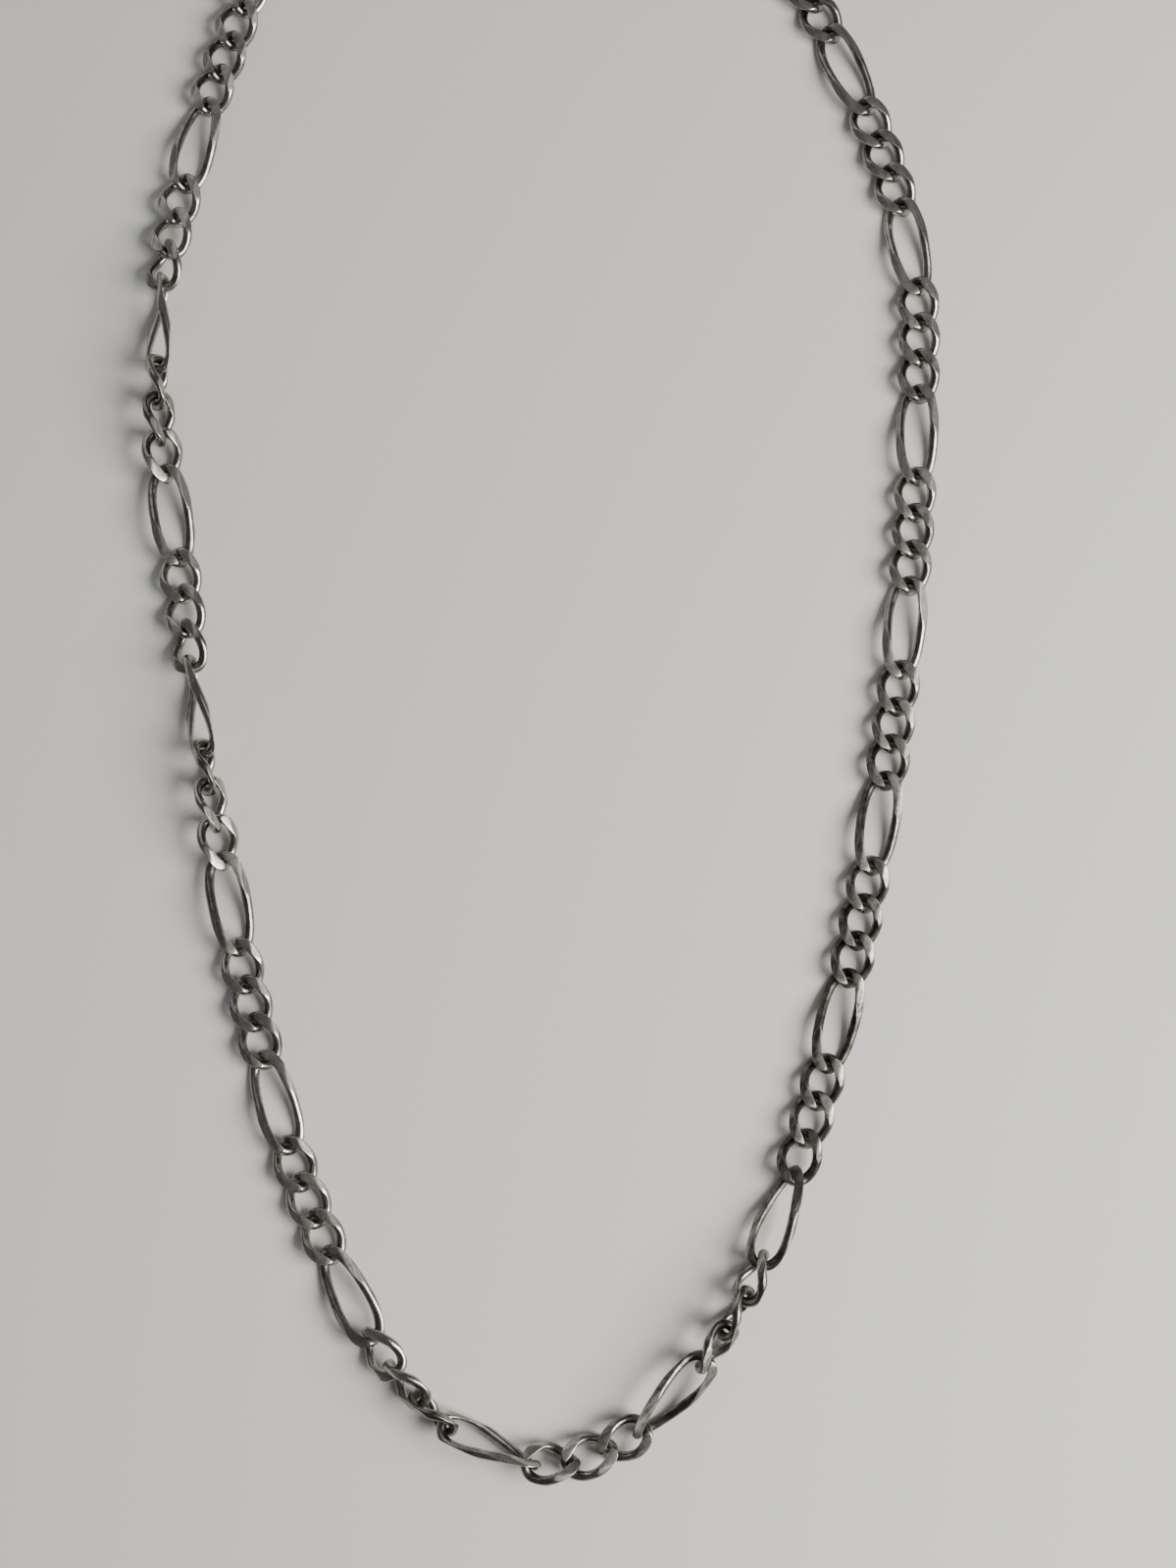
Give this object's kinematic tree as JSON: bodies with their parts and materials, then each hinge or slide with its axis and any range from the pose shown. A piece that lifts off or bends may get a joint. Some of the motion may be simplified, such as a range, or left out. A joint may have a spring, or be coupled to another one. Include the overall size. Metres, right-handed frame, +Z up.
{
  "type": "chain necklace",
  "caption": "Flat curb chain necklace in a figaro pattern of short and long twisted oval links, with a lobster-claw clasp and an end ring, undone and laid in an open U.",
  "frame": {"origin": "middle of the laid necklace's box in X and Y, on the surface that it lies on", "axes": "+Z up from the surface; the two undone ends lie towards +Y and the bottom of the U towards -Y; the clasp is on the -X side"},
  "size_m": [0.1308, 0.3278, 0.007],
  "materials": {
    "tarnished_silver": "oxidised silver, rubbed brighter on the filed faces",
    "clasp_silver": "oxidised silver, satin",
    "spring_steel": "plain spring steel"
  },
  "bodies": {
    "clasp_body": {"clasp_body": "clasp_silver", "clasp_rivet": "spring_steel", "clasp_spring": "spring_steel"},
    "clasp_jump_ring": {"clasp_jump_ring": "clasp_silver"},
    "clasp_lever": {"clasp_lever": "clasp_silver"},
    "end_ring": {"end_ring": "clasp_silver"},
    "long_link_01": {"long_link_01": "tarnished_silver"},
    "long_link_02": {"long_link_02": "tarnished_silver"},
    "long_link_03": {"long_link_03": "tarnished_silver"},
    "long_link_04": {"long_link_04": "tarnished_silver"},
    "long_link_05": {"long_link_05": "tarnished_silver"},
    "long_link_06": {"long_link_06": "tarnished_silver"},
    "long_link_07": {"long_link_07": "tarnished_silver"},
    "long_link_08": {"long_link_08": "tarnished_silver"},
    "long_link_09": {"long_link_09": "tarnished_silver"},
    "long_link_10": {"long_link_10": "tarnished_silver"},
    "long_link_11": {"long_link_11": "tarnished_silver"},
    "long_link_12": {"long_link_12": "tarnished_silver"},
    "long_link_13": {"long_link_13": "tarnished_silver"},
    "long_link_14": {"long_link_14": "tarnished_silver"},
    "long_link_15": {"long_link_15": "tarnished_silver"},
    "long_link_16": {"long_link_16": "tarnished_silver"},
    "long_link_17": {"long_link_17": "tarnished_silver"},
    "long_link_18": {"long_link_18": "tarnished_silver"},
    "long_link_19": {"long_link_19": "tarnished_silver"},
    "long_link_20": {"long_link_20": "tarnished_silver"},
    "short_link_04": {"short_link_04": "tarnished_silver"},
    "short_link_05": {"short_link_05": "tarnished_silver"},
    "short_link_06": {"short_link_06": "tarnished_silver"},
    "short_link_07": {"short_link_07": "tarnished_silver"},
    "short_link_08": {"short_link_08": "tarnished_silver"},
    "short_link_09": {"short_link_09": "tarnished_silver"},
    "short_link_10": {"short_link_10": "tarnished_silver"},
    "short_link_11": {"short_link_11": "tarnished_silver"},
    "short_link_12": {"short_link_12": "tarnished_silver"},
    "short_link_13": {"short_link_13": "tarnished_silver"},
    "short_link_14": {"short_link_14": "tarnished_silver"},
    "short_link_15": {"short_link_15": "tarnished_silver"},
    "short_link_16": {"short_link_16": "tarnished_silver"},
    "short_link_17": {"short_link_17": "tarnished_silver"},
    "short_pair_04": {"short_pair_04": "tarnished_silver"},
    "short_pair_05": {"short_pair_05": "tarnished_silver"},
    "short_pair_06": {"short_pair_06": "tarnished_silver"},
    "short_pair_07": {"short_pair_07": "tarnished_silver"},
    "short_pair_08": {"short_pair_08": "tarnished_silver"},
    "short_pair_09": {"short_pair_09": "tarnished_silver"},
    "short_pair_10": {"short_pair_10": "tarnished_silver"},
    "short_pair_11": {"short_pair_11": "tarnished_silver"},
    "short_pair_12": {"short_pair_12": "tarnished_silver"},
    "short_pair_13": {"short_pair_13": "tarnished_silver"},
    "short_pair_14": {"short_pair_14": "tarnished_silver"},
    "short_pair_15": {"short_pair_15": "tarnished_silver"},
    "short_pair_16": {"short_pair_16": "tarnished_silver"},
    "short_pair_17": {"short_pair_17": "tarnished_silver"},
    "short_trio_01": {"short_trio_01": "tarnished_silver"},
    "short_trio_02": {"short_trio_02": "tarnished_silver"},
    "short_trio_03": {"short_trio_03": "tarnished_silver"},
    "short_trio_18": {"short_trio_18": "tarnished_silver"},
    "short_trio_19": {"short_trio_19": "tarnished_silver"},
    "short_trio_20": {"short_trio_20": "tarnished_silver"}
  },
  "joints": [
    {"name": "clasp_body_swing", "type": "hinge", "parent": "clasp_jump_ring", "child": "clasp_body", "pos_m": [-0.0396, 0.11113, 0.00358], "axis": [0.5038, 0.0445, -0.8627], "range_deg": [-18, 18]},
    {"name": "clasp_jump_ring_swing", "type": "hinge", "parent": "short_trio_01", "child": "clasp_jump_ring", "pos_m": [-0.04052, 0.10806, 0.00288], "axis": [0.6334, -0.3486, 0.6909], "range_deg": [-18, 18]},
    {"name": "clasp_lever_press", "type": "hinge", "parent": "clasp_body", "child": "clasp_lever", "pos_m": [-0.0387, 0.11497, 0.003], "axis": [-0.0417, -0.1382, -0.9895], "range_deg": [0, 14], "stiffness_Nm_per_rad": 0.0001, "deforming": ["clasp_spring"]},
    {"name": "end_ring_swing", "type": "hinge", "parent": "long_link_20", "child": "end_ring", "pos_m": [0.00767, 0.16002, 0.00258], "axis": [-0.6718, -0.2279, -0.7048], "range_deg": [-18, 18]},
    {"name": "long_link_01_swing", "type": "hinge", "parent": "short_trio_02", "child": "long_link_01", "pos_m": [-0.04998, 0.07745, 0.00138], "axis": [0.6734, -0.2156, 0.7071], "range_deg": [-18, 18]},
    {"name": "long_link_02_swing", "type": "hinge", "parent": "short_trio_03", "child": "long_link_02", "pos_m": [-0.05922, 0.04662, 0.00132], "axis": [0.7029, -0.0928, 0.7053], "range_deg": [-18, 18]},
    {"name": "long_link_03_swing", "type": "hinge", "parent": "short_link_04", "child": "long_link_03", "pos_m": [-0.06271, 0.01484, 0.00357], "axis": [-0.7066, -0.0279, 0.7071], "range_deg": [-18, 18]},
    {"name": "long_link_04_swing", "type": "hinge", "parent": "short_link_05", "child": "long_link_04", "pos_m": [-0.05914, -0.01706, 0.00202], "axis": [0.7018, 0.0887, 0.7068], "range_deg": [-18, 18]},
    {"name": "long_link_05_swing", "type": "hinge", "parent": "short_link_06", "child": "long_link_05", "pos_m": [-0.05405, -0.04871, 0.00357], "axis": [0.696, 0.1248, -0.7071], "range_deg": [-18, 18]},
    {"name": "long_link_06_swing", "type": "hinge", "parent": "short_link_07", "child": "long_link_06", "pos_m": [-0.04812, -0.0803, 0.00209], "axis": [-0.7054, -0.0867, -0.7035], "range_deg": [-18, 18]},
    {"name": "long_link_07_swing", "type": "hinge", "parent": "short_link_08", "child": "long_link_07", "pos_m": [-0.03977, -0.11135, 0.00138], "axis": [0.6653, 0.2397, 0.7071], "range_deg": [-18, 18]},
    {"name": "long_link_08_swing", "type": "hinge", "parent": "short_link_09", "child": "long_link_08", "pos_m": [-0.02678, -0.14073, 0.00285], "axis": [-0.0781, -0.185, -0.9796], "range_deg": [-18, 12]},
    {"name": "long_link_09_swing", "type": "hinge", "parent": "short_link_10", "child": "long_link_09", "pos_m": [-0.00218, -0.16049, 0.00366], "axis": [-0.0397, -0.9842, -0.1727], "range_deg": [-18, 18]},
    {"name": "long_link_10_swing", "type": "hinge", "parent": "short_link_11", "child": "long_link_10", "pos_m": [0.02481, -0.14649, 0.00357], "axis": [0.2394, -0.1678, 0.9563], "range_deg": [-18, 18]},
    {"name": "long_link_11_swing", "type": "hinge", "parent": "short_link_12", "child": "long_link_11", "pos_m": [0.03938, -0.11792, 0.00308], "axis": [-0.7611, 0.3634, 0.5373], "range_deg": [-18, 18]},
    {"name": "long_link_13_swing", "type": "hinge", "parent": "short_pair_13", "child": "long_link_13", "pos_m": [0.05284, -0.0675, 0.00138], "axis": [-0.6932, 0.1394, -0.7071], "range_deg": [-18, 18]},
    {"name": "long_link_14_swing", "type": "hinge", "parent": "short_pair_14", "child": "long_link_14", "pos_m": [0.05801, -0.03573, 0.00138], "axis": [0.7004, -0.0972, 0.7071], "range_deg": [-18, 18]},
    {"name": "long_link_15_swing", "type": "hinge", "parent": "short_pair_15", "child": "long_link_15", "pos_m": [0.06111, -0.00368, 0.00138], "axis": [-0.7053, 0.0505, -0.7071], "range_deg": [-18, 18]},
    {"name": "long_link_16_swing", "type": "hinge", "parent": "short_pair_16", "child": "long_link_16", "pos_m": [0.06184, 0.02849, 0.00138], "axis": [0.7067, 0.0251, 0.7071], "range_deg": [-18, 18]},
    {"name": "long_link_17_swing", "type": "hinge", "parent": "short_pair_17", "child": "long_link_17", "pos_m": [0.05333, 0.05948, 0.00138], "axis": [-0.66, -0.2538, -0.7071], "range_deg": [-18, 18]},
    {"name": "long_link_18_swing", "type": "hinge", "parent": "short_trio_18", "child": "long_link_18", "pos_m": [0.03941, 0.0885, 0.00138], "axis": [-0.6297, -0.3217, -0.7071], "range_deg": [-18, 18]},
    {"name": "long_link_19_swing", "type": "hinge", "parent": "short_trio_19", "child": "long_link_19", "pos_m": [0.02599, 0.11777, 0.00138], "axis": [-0.6451, -0.2896, -0.7071], "range_deg": [-18, 18]},
    {"name": "long_link_20_swing", "type": "hinge", "parent": "short_trio_20", "child": "long_link_20", "pos_m": [0.01316, 0.1473, 0.00138], "axis": [-0.6496, -0.2792, -0.7071], "range_deg": [-18, 18]},
    {"name": "short_link_04_swing", "type": "hinge", "parent": "short_pair_04", "child": "short_link_04", "pos_m": [-0.0625, 0.00875, 0.00357], "axis": [0.9533, 0.0754, -0.2924], "range_deg": [-18, 18]},
    {"name": "short_link_05_swing", "type": "hinge", "parent": "short_pair_05", "child": "short_link_05", "pos_m": [-0.0582, -0.0231, 0.00166], "axis": [-0.5439, -0.2363, -0.8052], "range_deg": [-18, 18]},
    {"name": "short_link_06_swing", "type": "hinge", "parent": "short_pair_06", "child": "short_link_06", "pos_m": [-0.05297, -0.05472, 0.00357], "axis": [-0.9403, -0.174, 0.2924], "range_deg": [-18, 18]},
    {"name": "short_link_07_swing", "type": "hinge", "parent": "short_pair_07", "child": "short_link_07", "pos_m": [-0.04681, -0.08622, 0.00138], "axis": [0.6853, 0.1744, 0.7071], "range_deg": [-18, 18]},
    {"name": "short_link_08_swing", "type": "hinge", "parent": "short_pair_08", "child": "short_link_08", "pos_m": [-0.03774, -0.11711, 0.00138], "axis": [-0.6535, -0.27, -0.7071], "range_deg": [-18, 18]},
    {"name": "short_link_09_swing", "type": "hinge", "parent": "short_pair_09", "child": "short_link_09", "pos_m": [-0.02319, -0.14562, 0.00357], "axis": [-0.2183, -0.1944, 0.9563], "range_deg": [-18, 18]},
    {"name": "short_link_10_swing", "type": "hinge", "parent": "short_pair_10", "child": "short_link_10", "pos_m": [0.00394, -0.16094, 0.0031], "axis": [-0.1804, 0.8241, 0.537], "range_deg": [-18, 18]},
    {"name": "short_link_11_swing", "type": "hinge", "parent": "short_pair_11", "child": "short_link_11", "pos_m": [0.02838, -0.14154, 0.00357], "axis": [-0.6124, 0.3536, -0.7071], "range_deg": [-18, 18]},
    {"name": "short_link_12_swing", "type": "hinge", "parent": "short_pair_12", "child": "short_link_12", "pos_m": [0.04141, -0.11226, 0.00201], "axis": [0.6551, -0.2735, -0.7043], "range_deg": [-18, 18]},
    {"name": "short_link_13_swing", "type": "hinge", "parent": "long_link_12", "child": "short_link_13", "pos_m": [0.049, -0.0854, 0.00138], "axis": [-0.6837, 0.1805, -0.7071], "range_deg": [-18, 18]},
    {"name": "short_link_14_swing", "type": "hinge", "parent": "long_link_13", "child": "short_link_14", "pos_m": [0.05531, -0.05383, 0.00138], "axis": [0.6957, -0.1267, 0.7071], "range_deg": [-18, 18]},
    {"name": "short_link_15_swing", "type": "hinge", "parent": "long_link_14", "child": "short_link_15", "pos_m": [0.05961, -0.02192, 0.00138], "axis": [-0.7023, 0.0823, -0.7071], "range_deg": [-18, 18]},
    {"name": "short_link_16_swing", "type": "hinge", "parent": "long_link_15", "child": "short_link_16", "pos_m": [0.06173, 0.01021, 0.00138], "axis": [0.7064, -0.0325, 0.7071], "range_deg": [-18, 18]},
    {"name": "short_link_17_swing", "type": "hinge", "parent": "long_link_16", "child": "short_link_17", "pos_m": [0.05923, 0.04216, 0.00138], "axis": [-0.6958, -0.1261, -0.7071], "range_deg": [-18, 18]},
    {"name": "short_pair_04_swing", "type": "hinge", "parent": "long_link_04", "child": "short_pair_04", "pos_m": [-0.06134, -0.00337, 0.00301], "axis": [-0.834, -0.0959, -0.5434], "range_deg": [-18, 18]},
    {"name": "short_pair_05_swing", "type": "hinge", "parent": "long_link_05", "child": "short_pair_05", "pos_m": [-0.05635, -0.035, 0.00357], "axis": [-0.2883, -0.0487, 0.9563], "range_deg": [-18, 18]},
    {"name": "short_pair_06_swing", "type": "hinge", "parent": "long_link_06", "child": "short_pair_06", "pos_m": [-0.05077, -0.06669, 0.00301], "axis": [0.8301, 0.1253, 0.5434], "range_deg": [-18, 18]},
    {"name": "short_pair_07_swing", "type": "hinge", "parent": "long_link_07", "child": "short_pair_07", "pos_m": [-0.04375, -0.09803, 0.00138], "axis": [-0.6768, -0.2049, -0.7071], "range_deg": [-18, 18]},
    {"name": "short_pair_08_swing", "type": "hinge", "parent": "long_link_08", "child": "short_pair_08", "pos_m": [-0.03307, -0.12836, 0.00183], "axis": [0.4799, 0.3201, 0.8168], "range_deg": [-18, 18]},
    {"name": "short_pair_09_swing", "type": "hinge", "parent": "long_link_09", "child": "short_pair_09", "pos_m": [-0.01486, -0.1546, 0.00357], "axis": [0.3813, 0.877, -0.2924], "range_deg": [-12, 18]},
    {"name": "short_pair_10_swing", "type": "hinge", "parent": "long_link_10", "child": "short_pair_10", "pos_m": [0.01509, -0.15642, 0.00289], "axis": [0.1568, -0.0874, -0.9838], "range_deg": [-18, 18]},
    {"name": "short_pair_11_swing", "type": "hinge", "parent": "long_link_11", "child": "short_pair_11", "pos_m": [0.03415, -0.13079, 0.00361], "axis": [0.9104, -0.3757, -0.1735], "range_deg": [-18, 18]},
    {"name": "short_pair_12_swing", "type": "hinge", "parent": "long_link_12", "child": "short_pair_12", "pos_m": [0.04498, -0.10063, 0.00138], "axis": [-0.6837, 0.1805, 0.7071], "range_deg": [-18, 18]},
    {"name": "short_pair_13_swing", "type": "hinge", "parent": "short_link_13", "child": "short_pair_13", "pos_m": [0.05037, -0.07945, 0.00138], "axis": [0.6883, -0.1621, 0.7071], "range_deg": [-18, 18]},
    {"name": "short_pair_14_swing", "type": "hinge", "parent": "short_link_14", "child": "short_pair_14", "pos_m": [0.05628, -0.0478, 0.00138], "axis": [-0.6978, 0.1146, -0.7071], "range_deg": [-18, 18]},
    {"name": "short_pair_15_swing", "type": "hinge", "parent": "short_link_15", "child": "short_pair_15", "pos_m": [0.06018, -0.01585, 0.00138], "axis": [0.7038, -0.0681, 0.7071], "range_deg": [-18, 18]},
    {"name": "short_pair_16_swing", "type": "hinge", "parent": "short_link_16", "child": "short_pair_16", "pos_m": [0.06198, 0.0163, 0.00138], "axis": [-0.7065, 0.0304, -0.7071], "range_deg": [-18, 18]},
    {"name": "short_pair_17_swing", "type": "hinge", "parent": "short_link_17", "child": "short_pair_17", "pos_m": [0.05748, 0.04801, 0.00138], "axis": [0.6805, 0.192, 0.7071], "range_deg": [-18, 18]},
    {"name": "short_trio_01_swing", "type": "hinge", "parent": "long_link_01", "child": "short_trio_01", "pos_m": [-0.04584, 0.09072, 0.00138], "axis": [-0.6749, 0.2109, -0.7071], "range_deg": [-18, 18]},
    {"name": "short_trio_02_swing", "type": "hinge", "parent": "long_link_02", "child": "short_trio_02", "pos_m": [-0.05568, 0.06006, 0.00138], "axis": [-0.6844, 0.1778, -0.7071], "range_deg": [-18, 18]},
    {"name": "short_trio_03_swing", "type": "hinge", "parent": "long_link_03", "child": "short_trio_03", "pos_m": [-0.06231, 0.02874, 0.00357], "axis": [0.2923, -0.0071, -0.9563], "range_deg": [-18, 18]},
    {"name": "short_trio_18_swing", "type": "hinge", "parent": "long_link_17", "child": "short_trio_18", "pos_m": [0.04769, 0.07218, 0.00138], "axis": [0.6474, 0.2844, 0.7071], "range_deg": [-18, 18]},
    {"name": "short_trio_19_swing", "type": "hinge", "parent": "long_link_18", "child": "short_trio_19", "pos_m": [0.0335, 0.10108, 0.00138], "axis": [0.6394, 0.302, 0.7071], "range_deg": [-18, 18]},
    {"name": "short_trio_20_swing", "type": "hinge", "parent": "long_link_19", "child": "short_trio_20", "pos_m": [0.0204, 0.1305, 0.00138], "axis": [0.6472, 0.2848, 0.7071], "range_deg": [-18, 18]}
  ]
}
